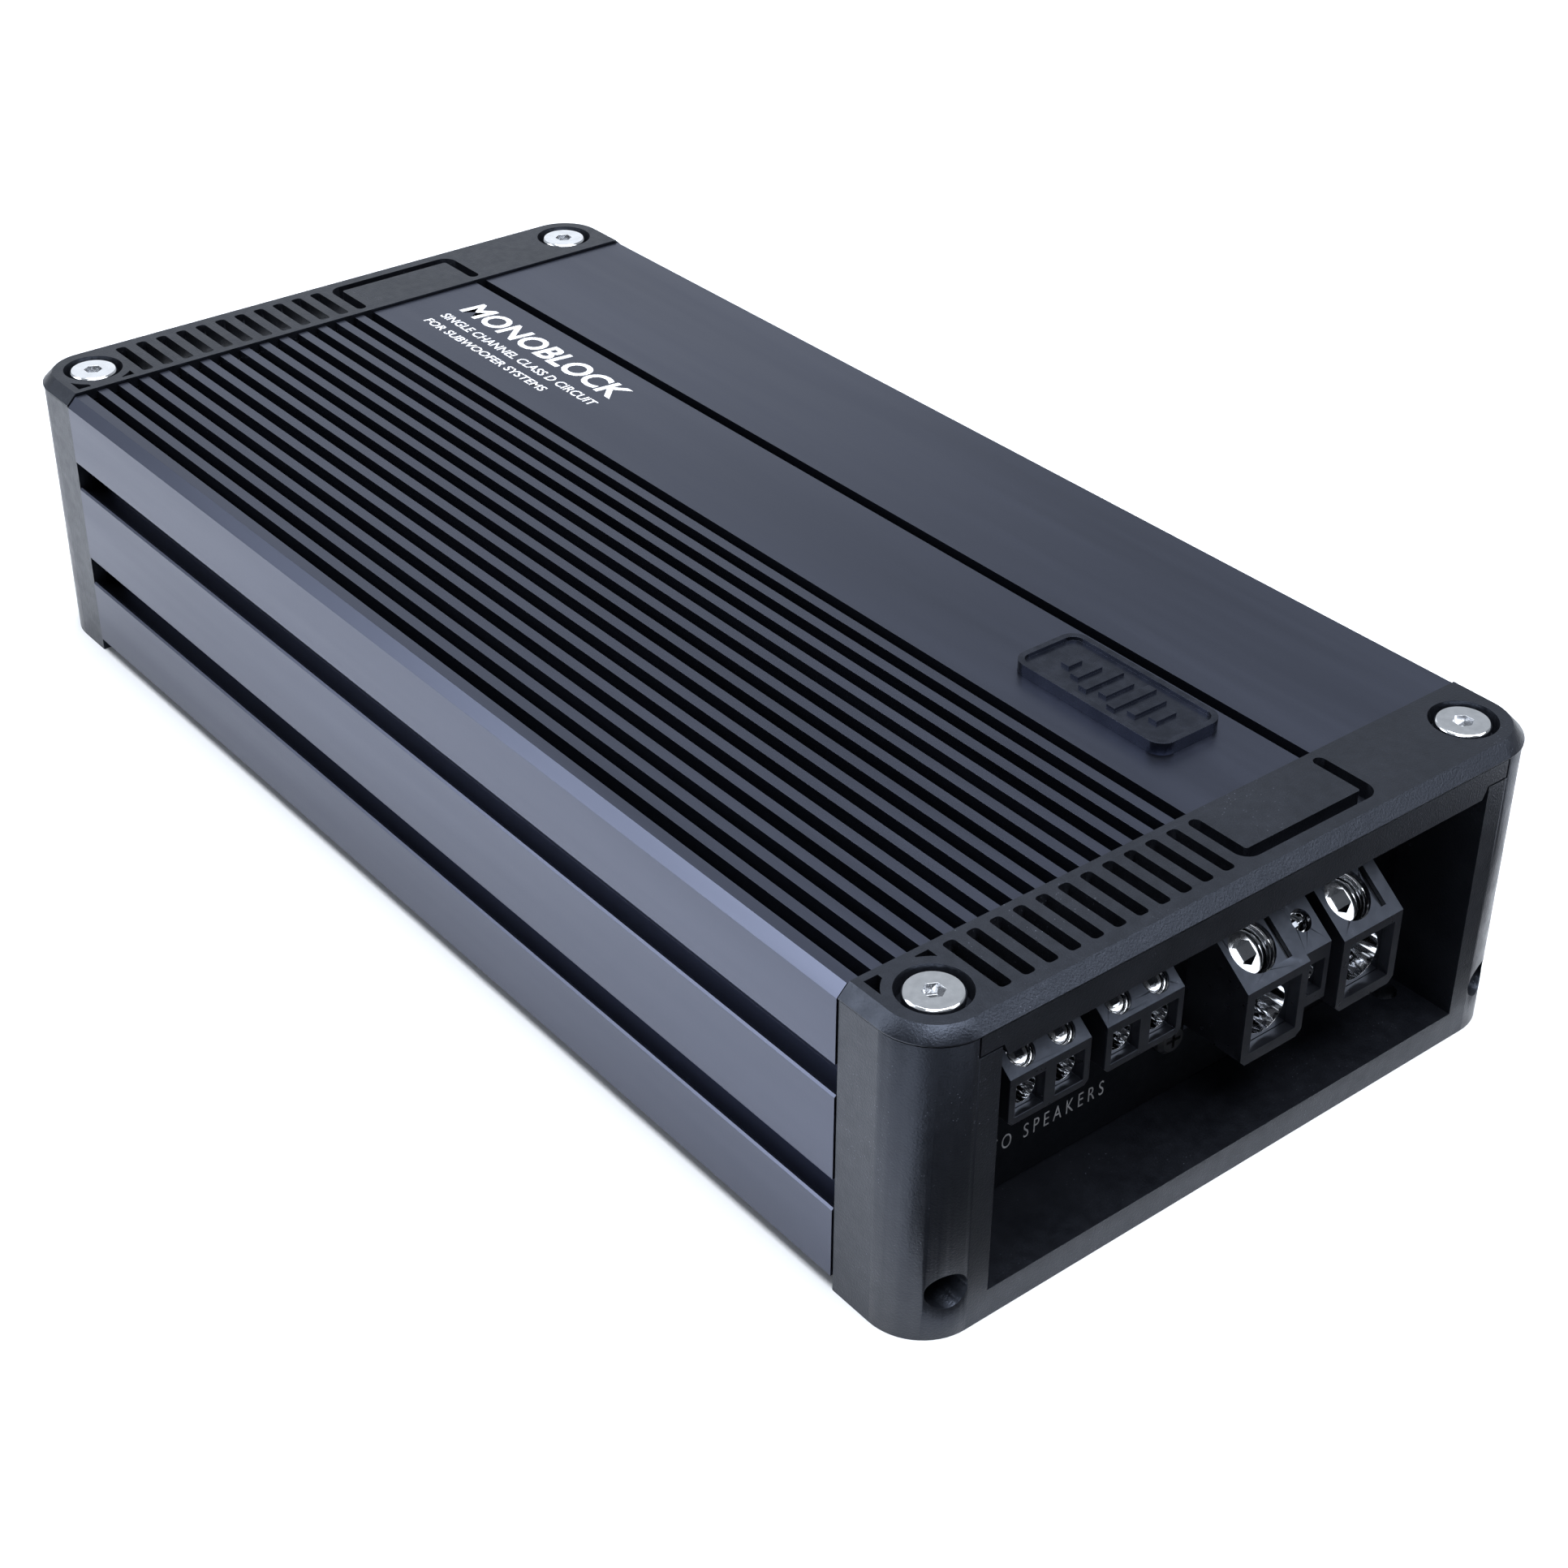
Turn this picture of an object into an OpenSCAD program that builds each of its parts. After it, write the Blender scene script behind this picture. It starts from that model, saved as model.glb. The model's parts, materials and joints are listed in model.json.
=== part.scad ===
// Car amplifier: a finned extruded case with a lift-off cover over the connections at each end.
// +X runs along the case towards the power and speaker terminals, -Y is the finned long side.
// The origin is the middle of the footprint, on the surface that the end frames stand on.

/* [Case] */
// Overall length of the case with both end covers, mm
body_l = 267; // [262:1:280]
// Overall width of the case, mm
body_w = 130; // [130:1:136]
// Overall height to the top of the end covers, mm
body_h = 56; // [56:0.5:60]
// Radius of the four upright corners
corner_r = 10; // [9:0.5:10.5]
// Length of each end cover along the case
end_l = 18.5; // [18:0.5:20]

/* [Heatsink] */
// How far the end covers stand proud of the heatsink's top face
cover_step = 0.5; // [0.3:0.1:0.8]
// Height of the heatsink's underside above the surface it stands over
sink_lift = 2.7; // [2.5:0.1:3]
// Width of the 45 degree chamfer along the heatsink's long top edges
sink_chamfer = 1.8; // [1:0.1:2]
// Distance from one fin groove to the next
fin_pitch = 4.36; // [4.2:0.02:4.4]
// Number of grooves between the flat middle strip and the long edge
groove_count = 15; // [12:1:15]
// Width of a fin groove
groove_w = 2.35; // [1.8:0.05:2.4]
// Depth of a fin groove
groove_d = 9; // [6:0.5:9]
// Lateral position of the first groove, beside the middle strip
first_groove_y = 1.15; // [1:0.05:1.5]
// Lateral position of the single groove on the far side of the middle strip
strip_groove_y = 28.3; // [26:0.1:30]
// Depth of the two grooves along each side wall
side_groove_d = 5; // [4:0.1:5]
// Height of those grooves
side_groove_h = 5.6; // [4.5:0.1:5.7]

/* [End covers] */
// Width of the chamfer round each cover's top
cover_chamfer = 2; // [1.5:0.1:2.1]
// Thickness of a cover, above the seam on the corner posts
cover_h = 2.2; // [2.1:0.1:2.6]
// How far the front lip of a cover hangs below the seam
lip_h = 5.7; // [4.5:0.1:6]
// Width of a louvre slot
louvre_w = 2.2; // [1.8:0.1:2.3]
// Number of louvre slots
louvre_count = 11; // [8:1:11]
// Distance of the cover screws from the two outer faces
screw_inset = 9.8; // [9.5:0.1:10.2]

/* [End frames] */
// Half the width of the opening between the corner posts
opening_half = 51; // [50:0.5:52]
// Thickness of the frame's floor
floor_h = 5.4; // [5:0.1:6]
// Radius of the screw ports low on the corner posts
port_r = 3.15; // [3:0.05:3.3]
// Radius of the four holes that fix the amplifier to a panel
mount_hole_r = 2.25; // [2:0.05:2.6]

/* [Terminals] */
// Width of a power terminal
power_w = 13.7; // [13.5:0.1:14]
// Radius of the bore that takes a power cable
power_bore_r = 4.3; // [4:0.1:4.3]
// Width of a two-way speaker terminal
speaker_w = 15.9; // [15.5:0.1:16.5]
// Radius of the bore that takes a speaker wire
speaker_bore_r = 2.3; // [2:0.1:2.4]
// Slope of the face that holds the clamp screws, in degrees
terminal_slope = 38; // [36:1:40]

/* [Controls] */
// Radius of a control knob
knob_r = 3.4; // [3:0.1:3.8]
// Distance between neighbouring knobs
knob_pitch = 9.5; // [9:0.1:10]
// Height of the phase switch's slider
slider_h = 2.2; // [1.8:0.1:2.4]

/* [Fit] */
// Gap between a cover and what it sits on
cover_gap = 0.3; // [0.3:0.05:0.5]
// Radial play of screws and shafts in their bores
play = 0.08; // [0.05:0.01:0.1]

/* [Hidden] */
$fn = 48;
eps = 0.01;

half_l = body_l / 2;
half_w = body_w / 2;
sink_x = half_l - end_l;
sink_top = body_h - cover_step;

// Heatsink section
roof_h = sink_top - groove_d - 4.5;
wall_in = half_w - 8;
foot_in = half_w - 11;
foot_top = sink_lift + 9.9;
rebate_half = half_w - 4.5;
rebate_h = 1.5;
fin_head = 2.4;
fin_undercut = 0.3;
side_chamfer = 0.35;
side_lip_t = 1.4;
side_undercut = 1.4;
side_groove_tops = [42.2, 21.3];

// Bottom plate and the circuit boards
plate_t = rebate_h;
plate_top = sink_lift + plate_t;
plate_screw_x = [-95, -32, 32, 95];
plate_screw_y = foot_in + 3.3;
board_z = 14;
board_t = 1.6;
board_top = board_z + board_t;
board_half_l = sink_x - 3.2;
board_half_w = wall_in - 1;
standoff_x = [-74, 26, 74];
standoff_y = 46;

// End frame and cover
frame_x = sink_x + 0.3;
panel_t = 3.2;
panel_x = sink_x + panel_t;
panel_lip_x = sink_x + 1;
frame_inset = 0.2;
seam_z = body_h - cover_h;
frame_top = seam_z - cover_gap;
lip_t = 2.3;
lip_wing = half_w - corner_r;
lip_wing_z = seam_z - 3.5;
cup_r = 7;
cup_z = seam_z - 2.8;
island_z = seam_z - 1.6;
screw_x = half_l - screw_inset;
screw_y = half_w - screw_inset;
head_r = 4.5;
head_h = 3.3;
recess_r = 5.65;
recess_z = body_h - 0.2 - head_h;
shank_r = 2.5;
shank_l = 14;
port_y = half_w - 6.9;
port_z = 9;
port_floor = panel_x + 2.4;
mount_x = half_l - 11;
mount_y = opening_half - 3.8;
panel_half = half_w - 3;
panel_top = roof_h + 4.5;
upper_screw_y = half_w - 7;
upper_screw_z = 44.2;
slot_x0 = sink_x + 1.8;
slot_x1 = half_l - 4.3;

// Terminals
power_face_x = half_l - 2.9;
power_z0 = 17;
power_z1 = 31.1;
power_lefts = [2.5, 24];
remote_y = [16.2, 21.9];
remote_z0 = 21;
remote_face_x = power_face_x - 0.9;
power_screw_y = 5.4;
power_screw_s = 6.1;
speaker_face_x = half_l - 5.9;
speaker_z0 = 27.8;
speaker_z1 = 36.3;
speaker_ys = [-35.45, -16.45];
speaker_pitch = 7.8;
speaker_screw_s = 3.2;
terminal_top = roof_h - 0.7;
terminal_back = 104;
leg_front = 112;

// Controls
control_z = 22;
control_top = control_z + board_t;
knob_z = 33;
knob_y0 = 16;
rca_ys = [-42, -26];
rca_z = 32;
switch_y = 3;
switch_z = 27.4;
socket_y = -11.5;

// ---------------------------------------------------------------- helpers

// Extrudes a (y, z) outline along X from x0 to x1
module along_x(x0, x1) {
    translate([x0, 0, 0]) rotate([90, 0, 90]) linear_extrude(x1 - x0) children();
}

// Extrudes an (x, z) outline along Y from y0 to y1
module along_y(y0, y1) {
    translate([0, y1, 0]) rotate([90, 0, 0]) linear_extrude(y1 - y0) children();
}

// Box between two corners
module box(low, high) {
    translate(low) cube(high - low);
}

// Cylinder along +X from x0 to x1 at (y, z)
module rod_x(x0, x1, y, z, r) {
    translate([x0, y, z]) rotate([0, 90, 0]) cylinder(h = x1 - x0, r = r);
}

// Cylinder head with a hex socket, its top at the origin and pointing up
module socket_screw(r, h, shank, length, key_r, key_d) {
    difference() {
        union() {
            translate([0, 0, -0.3]) cylinder(h = 0.3, r1 = r, r2 = r - 0.3);
            translate([0, 0, -h]) cylinder(h = h - 0.3, r = r);
            translate([0, 0, -h - length]) cylinder(h = length, r = shank);
        }
        translate([0, 0, -key_d]) cylinder(h = key_d + 1, r = key_r, $fn = 6);
    }
}

// Low round-headed screw, head resting at z = 0 and shank pointing down
module pan_screw(head, h, shank, length) {
    difference() {
        union() {
            cylinder(h = h * 0.6, r = head);
            translate([0, 0, h * 0.6]) cylinder(h = h * 0.4, r1 = head, r2 = head * 0.75);
            translate([0, 0, -length]) cylinder(h = length, r = shank);
        }
        for (a = [0, 90])
            rotate(a) translate([-head * 0.55, -0.3, h * 0.45]) cube([head * 1.1, 0.6, h]);
    }
}

// Block filling the plan of an end piece, rounded at its outer corners, with an optional top chamfer
module end_block(inset, z0, z1, chamfer) {
    x1 = half_l - inset;
    y1 = half_w - inset;
    r = corner_r - inset;
    xc = x1 - r;
    yc = y1 - r;
    shoulder = z1 - chamfer;
    along_x(frame_x, xc)
        polygon([[-y1, z0], [y1, z0], [y1, shoulder], [y1 - chamfer, z1],
                 [-y1 + chamfer, z1], [-y1, shoulder]]);
    along_y(-yc, yc)
        polygon([[frame_x, z0], [x1, z0], [x1, shoulder], [x1 - chamfer, z1], [frame_x, z1]]);
    for (side = [-1, 1]) intersection() {
        translate([xc, side * yc, z0]) union() {
            cylinder(h = shoulder - z0, r = r);
            if (chamfer > 0)
                translate([0, 0, shoulder - z0]) cylinder(h = chamfer, r1 = r, r2 = r - chamfer);
        }
        box([xc - eps, min(side * y1, 0), z0], [x1, max(side * y1, 0), z1]);
    }
}

// ---------------------------------------------------------------- case

// Outline of one top groove, wider below the heads of the fins
module top_groove(y) {
    half = groove_w / 2;
    wide = half + fin_undercut;
    neck = sink_top - fin_head;
    polygon([[y - wide, sink_top - groove_d], [y + wide, sink_top - groove_d],
             [y + wide, neck - fin_undercut], [y + half, neck], [y + half, sink_top + eps],
             [y - half, sink_top + eps], [y - half, neck], [y - wide, neck - fin_undercut]]);
}

// Outline of one side groove on the +Y wall: a slot wider behind its lips, the lower one a sharp edge
module side_groove(top) {
    low = top - side_groove_h;
    back = half_w - side_groove_d;
    neck = half_w - side_lip_t;
    edge = half_w - side_chamfer;
    polygon([[back, top + side_undercut], [back, low - side_undercut],
             [edge - side_undercut, low - side_undercut], [edge, low],
             [half_w + eps, low - side_chamfer - eps],
             [half_w + eps, top], [neck, top], [neck, top + side_undercut]]);
}

module heatsink_section() {
    difference() {
        polygon([[-half_w, sink_lift], [half_w, sink_lift],
                 [half_w, sink_top - sink_chamfer], [half_w - sink_chamfer, sink_top],
                 [-half_w + sink_chamfer, sink_top], [-half_w, sink_top - sink_chamfer]]);
        polygon([[-rebate_half, sink_lift - 1], [rebate_half, sink_lift - 1],
                 [rebate_half, plate_top], [foot_in, plate_top], [foot_in, foot_top],
                 [wall_in, foot_top], [wall_in, roof_h - 2], [wall_in - 2, roof_h],
                 [2 - wall_in, roof_h], [-wall_in, roof_h - 2], [-wall_in, foot_top],
                 [-foot_in, foot_top], [-foot_in, plate_top], [-rebate_half, plate_top]]);
        for (i = [0 : groove_count - 1]) top_groove(first_groove_y - i * fin_pitch);
        top_groove(strip_groove_y);
        for (top = side_groove_tops) {
            side_groove(top);
            mirror([1, 0]) side_groove(top);
        }
    }
}

module heatsink() {
    color("#2b2c31") difference() {
        along_x(-sink_x, sink_x) heatsink_section();
        for (end = [-1, 1], side = [-1, 1]) {
            translate([end * (sink_x - 6), side * port_y, port_z])
                rotate([0, 90, 0]) cylinder(h = 12 + 2 * eps, r = 1.35, center = true);
            translate([end * (sink_x - 5), side * upper_screw_y, upper_screw_z])
                rotate([0, 90, 0]) cylinder(h = 10 + 2 * eps, r = 1.35, center = true);
        }
        for (x = plate_screw_x, side = [-1, 1])
            translate([x, side * plate_screw_y, plate_top - eps]) cylinder(h = 7, r = 1.35);
        for (row = [supply_row, output_row], x = clamp_screw_xs(row))
            clamp_screw_at(row, x) cylinder(h = 5.5, r = 1.2);
    }
}

module bottom_plate() {
    color("#1d1e20") difference() {
        box([-sink_x + 0.5, -rebate_half + 0.3, sink_lift],
            [sink_x - 0.5, rebate_half - 0.3, plate_top]);
        for (x = plate_screw_x, side = [-1, 1])
            translate([x, side * plate_screw_y, 0]) cylinder(h = 10, r = 1.7);
    }
}

module bottom_plate_screws() {
    color("#3a3b3e") for (x = plate_screw_x, side = [-1, 1])
        translate([x, side * plate_screw_y, sink_lift]) rotate([180, 0, 0])
            pan_screw(2.8, 1.6, 1.3, 7);
}

module badge() {
    plate = [34, 14.4, 1.5];
    rim = 0.7;
    bars = [3, 5.4, 8.4, 6.2, 9.4, 7, 4.4];
    translate([85, 17, sink_top]) color("#33353a") {
        difference() {
            badge_plate(plate, 0, plate[2] + rim);
            translate([0, 0, plate[2]]) badge_plate(plate, 1.1, 2 * rim);
        }
        for (i = [0 : len(bars) - 1])
            translate([(i - 3) * 3.4 - 0.9, -bars[i] / 2, plate[2] - eps])
                cube([1.8, bars[i], 0.5 + eps]);
    }
}

// Rounded rectangular slab of the badge, drawn in by inset on every side
module badge_plate(plate, inset, h) {
    r = 3 - inset;
    dx = plate[0] / 2 - 3;
    dy = plate[1] / 2 - 3;
    box([-dx, -dy - r, 0], [dx, dy + r, h]);
    box([-dx - r, -dy, 0], [dx + r, dy, h]);
    for (sx = [-1, 1], sy = [-1, 1]) translate([sx * dx, sy * dy, 0]) cylinder(h = h, r = r);
}

// ---------------------------------------------------------------- end frames and covers

module end_frame() {
    panel_room = panel_half + 0.2;
    difference() {
        end_block(frame_inset, 0, frame_top, 0);
        box([frame_x - 1, -opening_half, floor_h], [half_l + 1, opening_half, body_h]);
        box([frame_x - 1, -panel_room, floor_h], [panel_x, panel_room, panel_top + 0.2]);
        box([frame_x - 1, -panel_room, floor_h], [panel_lip_x + 0.2, panel_room, body_h]);
        box([panel_x, -40, -1], [half_l - 2.4, 40, floor_h - 3]);
        box([half_l - lip_t - cover_gap, -lip_wing - cover_gap, lip_wing_z - cover_gap],
            [half_l + 1, lip_wing + cover_gap, body_h]);
        corner_slots(frame_top - 3);
        for (side = [-1, 1]) {
            rod_x(port_floor, half_l + 1, side * port_y, port_z, port_r);
            rod_x(panel_x - 1, port_floor + 1, side * port_y, port_z, 1.6);
            rod_x(panel_x - 1, panel_x + 2.6, side * upper_screw_y, upper_screw_z, 3.2);
            translate([mount_x, side * mount_y, -1]) cylinder(h = floor_h + 2, r = mount_hole_r);
            translate([screw_x, side * screw_y, 0]) {
                translate([0, 0, recess_z - shank_l - 1])
                    cylinder(h = shank_l + 2, r = shank_r + play);
                translate([0, 0, cup_z - cover_gap]) cylinder(h = 10, r = cup_r + cover_gap);
            }
        }
    }
}

// Slot with rounded corners, from x0 to x1
module slot(x0, x1, y, w, z0, z1) {
    r = 0.7;
    box([x0 + r, y - w / 2, z0], [x1 - r, y + w / 2, z1]);
    box([x0, y - w / 2 + r, z0], [x1, y + w / 2 - r, z1]);
    for (x = [x0 + r, x1 - r], side = [-1, 1])
        translate([x, y + side * (w / 2 - r), z0]) cylinder(h = z1 - z0, r = r);
}

// Two short slots beside the screw on the finned side, cut off square by the screw's rim
module corner_slots(z0) {
    stub_w = 2.5;
    for (i = [12, 14]) difference() {
        y = first_groove_y - i * fin_pitch;
        y0 = i == 12 ? y - stub_w + 1.15 : y - 1.75;
        box([slot_x0 - 0.2, y0, z0], [slot_x0 + 4, y0 + stub_w, body_h + 1]);
        translate([screw_x, -screw_y, 0]) cylinder(h = 100, r = recess_r + 1.65);
    }
}

// Three-sided channel that outlines the island in line with the middle strip
module island_channel(z0, z1) {
    w = louvre_w;
    bend = 2.7;
    low = first_groove_y;
    high = strip_groove_y;
    xb = slot_x1 - bend;
    for (y = [low, high]) {
        box([slot_x0 + w / 2, y - w / 2, z0], [xb, y + w / 2, z1]);
        translate([slot_x0 + w / 2, y, z0]) cylinder(h = z1 - z0, r = w / 2);
    }
    box([slot_x1 - w, low - w / 2 + bend, z0], [slot_x1, high + w / 2 - bend, z1]);
    for (side = [-1, 1]) {
        yc = side < 0 ? low - w / 2 + bend : high + w / 2 - bend;
        translate([xb, yc, z0]) intersection() {
            difference() {
                cylinder(h = z1 - z0, r = bend);
                translate([0, 0, -1]) cylinder(h = z1 - z0 + 2, r = bend - w);
            }
            box([0, min(0, side * bend), 0], [bend, max(0, side * bend), z1 - z0]);
        }
    }
}

// Outline in (y, z) of the lip that hangs between the posts, its wings notched into them
module front_lip_outline() {
    end = opening_half - cover_gap;
    low = seam_z - lip_h;
    right = [[end - 1, low], [end - 0.4, low + 1.2], [end, lip_wing_z], [lip_wing, lip_wing_z],
             [lip_wing, seam_z + eps]];
    left = [for (i = [len(right) - 1 : -1 : 0]) [-right[i][0], right[i][1]]];
    polygon(concat(right, left));
}

module end_cover() {
    difference() {
        union() {
            end_block(0, seam_z, body_h, cover_chamfer);
            along_x(half_l - lip_t, half_l - frame_inset) front_lip_outline();
            box([panel_lip_x + cover_gap, first_groove_y - 3, island_z],
                [slot_x1 + 1, strip_groove_y + 3, seam_z + eps]);
            for (side = [-1, 1]) translate([screw_x, side * screw_y, cup_z])
                cylinder(h = seam_z - cup_z + eps, r = cup_r);
        }
        box([half_l - 0.9, -half_w, seam_z - 0.3], [half_l + 1, half_w, seam_z]);
        for (i = [1 : louvre_count])
            slot(slot_x0, slot_x1, first_groove_y - i * fin_pitch, louvre_w, seam_z - 1, body_h + 1);
        island_channel(island_z + 0.9, body_h + 1);
        corner_slots(seam_z - 1);
        for (side = [-1, 1]) translate([screw_x, side * screw_y, 0]) {
            translate([0, 0, recess_z]) cylinder(h = 10, r = recess_r);
            translate([0, 0, cup_z - 1]) cylinder(h = 10, r = shank_r + 0.2);
        }
    }
}

module cover_screws() {
    for (side = [-1, 1]) translate([screw_x, side * screw_y, recess_z + head_h])
        socket_screw(head_r, head_h, shank_r, shank_l, 1.75, 2);
}

module power_end_frame() { color("#232427") end_frame(); }
module control_end_frame() { color("#232427") mirror([1, 0, 0]) end_frame(); }
module power_end_cover() { color("#2a2b2f") end_cover(); }
module control_end_cover() { color("#2a2b2f") mirror([1, 0, 0]) end_cover(); }
module power_cover_screws() { color("#d9dadc") cover_screws(); }
module control_cover_screws() { color("#d9dadc") mirror([1, 0, 0]) cover_screws(); }

// Screws in the corner ports, holding both frames
module frame_screws() {
    color("#4a4b4e") for (end = [0, 1], side = [-1, 1]) mirror([end, 0, 0])
        translate([port_floor, side * port_y, port_z]) rotate([0, 90, 0])
            pan_screw(2.75, 1.9, 1.3, port_floor - sink_x + 8);
}

// Screws through the panels' upper corners, hidden behind the posts, and beside the power terminal
module panel_screws() {
    color("#4a4b4e") {
        for (end = [0, 1], side = [-1, 1]) mirror([end, 0, 0])
            panel_screw(side * upper_screw_y, upper_screw_z);
        for (y = fixing_ys) panel_screw(y, fixing_z);
    }
}

module panel_screw(y, z) {
    translate([panel_x, y, z]) rotate([0, 90, 0]) pan_screw(2.75, 1.8, 1.3, panel_t + 4.8);
}

// Plate that closes one end of the heatsink, with a thin lip that closes the fin grooves
module end_panel_blank() {
    difference() {
        union() {
            box([sink_x, -panel_half, floor_h + 0.2], [panel_x, panel_half, panel_top]);
            box([sink_x, -panel_half, panel_top - eps], [panel_lip_x, panel_half, frame_top]);
        }
        for (side = [-1, 1]) {
            rod_x(sink_x - 1, panel_x + 1, side * port_y, port_z, 1.6);
            rod_x(sink_x - 1, panel_x + 1, side * upper_screw_y, upper_screw_z, 1.6);
        }
    }
}

module power_end_panel() {
    c = 0.15;
    color("#18191b") difference() {
        end_panel_blank();
        for (y = speaker_ys)
            box([sink_x - 1, y - speaker_w / 2 - c, speaker_z0 - c],
                [panel_x + 1, y + speaker_w / 2 + c, terminal_top + c]);
        for (y = power_lefts)
            box([sink_x - 1, y - c, power_z0 - c],
                [panel_x + 1, y + power_w + c, terminal_top + c]);
        box([sink_x - 1, remote_y[0] - 1, remote_z0 - c],
            [panel_x + 1, remote_y[1] + c, terminal_top + c]);
        for (y = fixing_ys) rod_x(sink_x - 1, panel_x + 1, y, fixing_z, 1.6);
    }
}

// ---------------------------------------------------------------- terminals

// Profile of a terminal in (x, z): a square nose, a sloping screw face and a leg down to the board
module terminal_profile(face_x, z0, z1) {
    top_run = (terminal_top - z1) / tan(terminal_slope);
    polygon([[terminal_back, board_top], [leg_front, board_top], [leg_front, z0],
             [face_x, z0], [face_x, z1], [face_x - top_run, terminal_top],
             [terminal_back, terminal_top]]);
}

// Moves children to a point on a sloping face, s along it from its front edge, with +Z outwards
module on_slope(face_x, z1, s, y) {
    translate([face_x - s * cos(terminal_slope), y, z1 + s * sin(terminal_slope)])
        rotate([0, terminal_slope, 0]) children();
}

// Profile of a clamp block in (x, z), drawn in from the housing's slope by skin, with a tail to the board
module block_profile(face_x, z1, z0, front, skin, grow) {
    drop = (skin - grow) / cos(terminal_slope);
    top = terminal_top - skin + grow;
    back = block_back - grow;
    x1 = front + grow;
    polygon([[back, board_top], [tail_x + grow, board_top], [tail_x + grow, z0 - grow],
             [x1, z0 - grow], [x1, z1 + (face_x - x1) * tan(terminal_slope) - drop],
             [face_x - (top + drop - z1) / tan(terminal_slope), top], [back, top]]);
}

// Wedges that trim the lower corners of a nose
module nose_corner_cuts(face_x, y0, y1, z0, cut) {
    for (side = [0, 1]) along_x(panel_x + 0.5, face_x + 1)
        polygon(side == 0
            ? [[y0 - 1, z0 - 1], [y0 + cut, z0 - 1], [y0 + cut, z0], [y0, z0 + cut], [y0 - 1, z0 + cut]]
            : [[y1 + 1, z0 - 1], [y1 - cut, z0 - 1], [y1 - cut, z0], [y1, z0 + cut], [y1 + 1, z0 + cut]]);
}

// Set screw in its working position: hex socket outwards and a blind hole in its tip for the pad's peg
module set_screw(r, depth, length, key_r, key_d, peg_r) {
    translate([0, 0, -depth - length]) difference() {
        union() {
            cylinder(h = 0.4, r1 = r - 0.4, r2 = r);
            translate([0, 0, 0.4]) cylinder(h = length - 0.7, r = r);
            translate([0, 0, length - 0.3]) cylinder(h = 0.3, r1 = r, r2 = r - 0.3);
        }
        translate([0, 0, length - key_d]) cylinder(h = key_d + 1, r = key_r, $fn = 6);
        translate([0, 0, -1]) cylinder(h = 1 + peg_l + 0.2, r = peg_r + play);
    }
}

// Pressure pad under a set screw, its peg turning freely in the screw's tip
module clamp_pad(r, depth, length, t, peg_r) {
    translate([0, 0, -depth - length - 0.1 - t]) {
        cylinder(h = t, r = r);
        cylinder(h = t + 0.1 + peg_l, r = peg_r);
    }
}

block_back = terminal_back + 2.5;
tail_x = block_back + 3;
peg_l = 0.9;
fit_c = 0.1;

// Set screws: radius, depth below the slope, length, hex socket radius and depth, peg radius
power_set = [3.9, 2.4, 3.4, 2.31, 1.9, 1];
speaker_set = [1.9, 1, 2.6, 1.15, 1.2, 0.6];
remote_set = [1.45, 2, 6, 0.87, 1.5, 0.5];
thread_gap = 0.3;
power_pad = [2.3, 0.8];
speaker_pad = [1.2, 0.6];
remote_pad = [1.1, 0.5];

speaker_block_w = 5.4;
speaker_block_z = speaker_z0 + 1.3;
speaker_bore_z = speaker_block_z + 2.8;
speaker_block_x = speaker_face_x - 1.5;
speaker_skin = 0.8;
function speaker_wire_y(i) = speaker_ys[floor(i / 2)] + (i % 2 - 0.5) * speaker_pitch;

module on_speaker_slope(y) {
    on_slope(speaker_face_x, speaker_z1, speaker_screw_s, y) children();
}

module speaker_terminal(i) {
    y = speaker_ys[i];
    half = speaker_w / 2;
    color("#3b3c40") difference() {
        along_y(y - half, y + half) terminal_profile(speaker_face_x, speaker_z0, speaker_z1);
        nose_corner_cuts(speaker_face_x, y - half, y + half, speaker_z0, 0.8);
        for (k = [2 * i, 2 * i + 1]) {
            yk = speaker_wire_y(k);
            hw = speaker_block_w / 2 + fit_c;
            along_y(yk - hw, yk + hw)
                block_profile(speaker_face_x, speaker_z1, speaker_block_z, speaker_block_x,
                              speaker_skin, fit_c);
            box([speaker_block_x - 1, yk - hw, speaker_block_z - fit_c],
                [speaker_face_x + 1, yk + hw, speaker_block_z + 5.7]);
            on_speaker_slope(yk) translate([0, 0, -2]) cylinder(h = 4, r = 2.4);
        }
    }
}

module speaker_clamp_blocks() {
    color("#c9cacc") for (k = [0 : 3]) {
        yk = speaker_wire_y(k);
        difference() {
            along_y(yk - speaker_block_w / 2, yk + speaker_block_w / 2)
                block_profile(speaker_face_x, speaker_z1, speaker_block_z, speaker_block_x,
                              speaker_skin, 0);
            rod_x(block_back + 5, speaker_face_x, yk, speaker_bore_z, speaker_bore_r);
            on_speaker_slope(yk)
                translate([0, 0, -7.5]) cylinder(h = 9, r = speaker_set[0] + thread_gap);
        }
    }
}

module speaker_clamp_screw(k) {
    t = speaker_set;
    color("#dcdddf") on_speaker_slope(speaker_wire_y(k)) set_screw(t[0], t[1], t[2], t[3], t[4], t[5]);
}

module speaker_clamp_pad(k) {
    t = speaker_set;
    color("#b9babd") on_speaker_slope(speaker_wire_y(k))
        clamp_pad(speaker_pad[0], t[1], t[2], speaker_pad[1], t[5]);
}

power_block_z = power_z0 + 2;
power_bore_z = power_block_z + 5;
power_block_x = power_face_x - 2;
power_skin = 1;
power_block_y = [0.85, 12];
power_open_y = [1.8, 12.1];
remote_block_y = [16.95, 20.75];
remote_block_z = 23.1;
remote_block_x = remote_face_x - 1.5;
remote_bore_y = 18.85;
remote_bore_z = 26;
remote_bore_r = 1.4;
remote_screw_y = 18.75;
fixing_ys = [-1, 41.4];
fixing_z = 17.5;
flange_x = leg_front;

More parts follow.
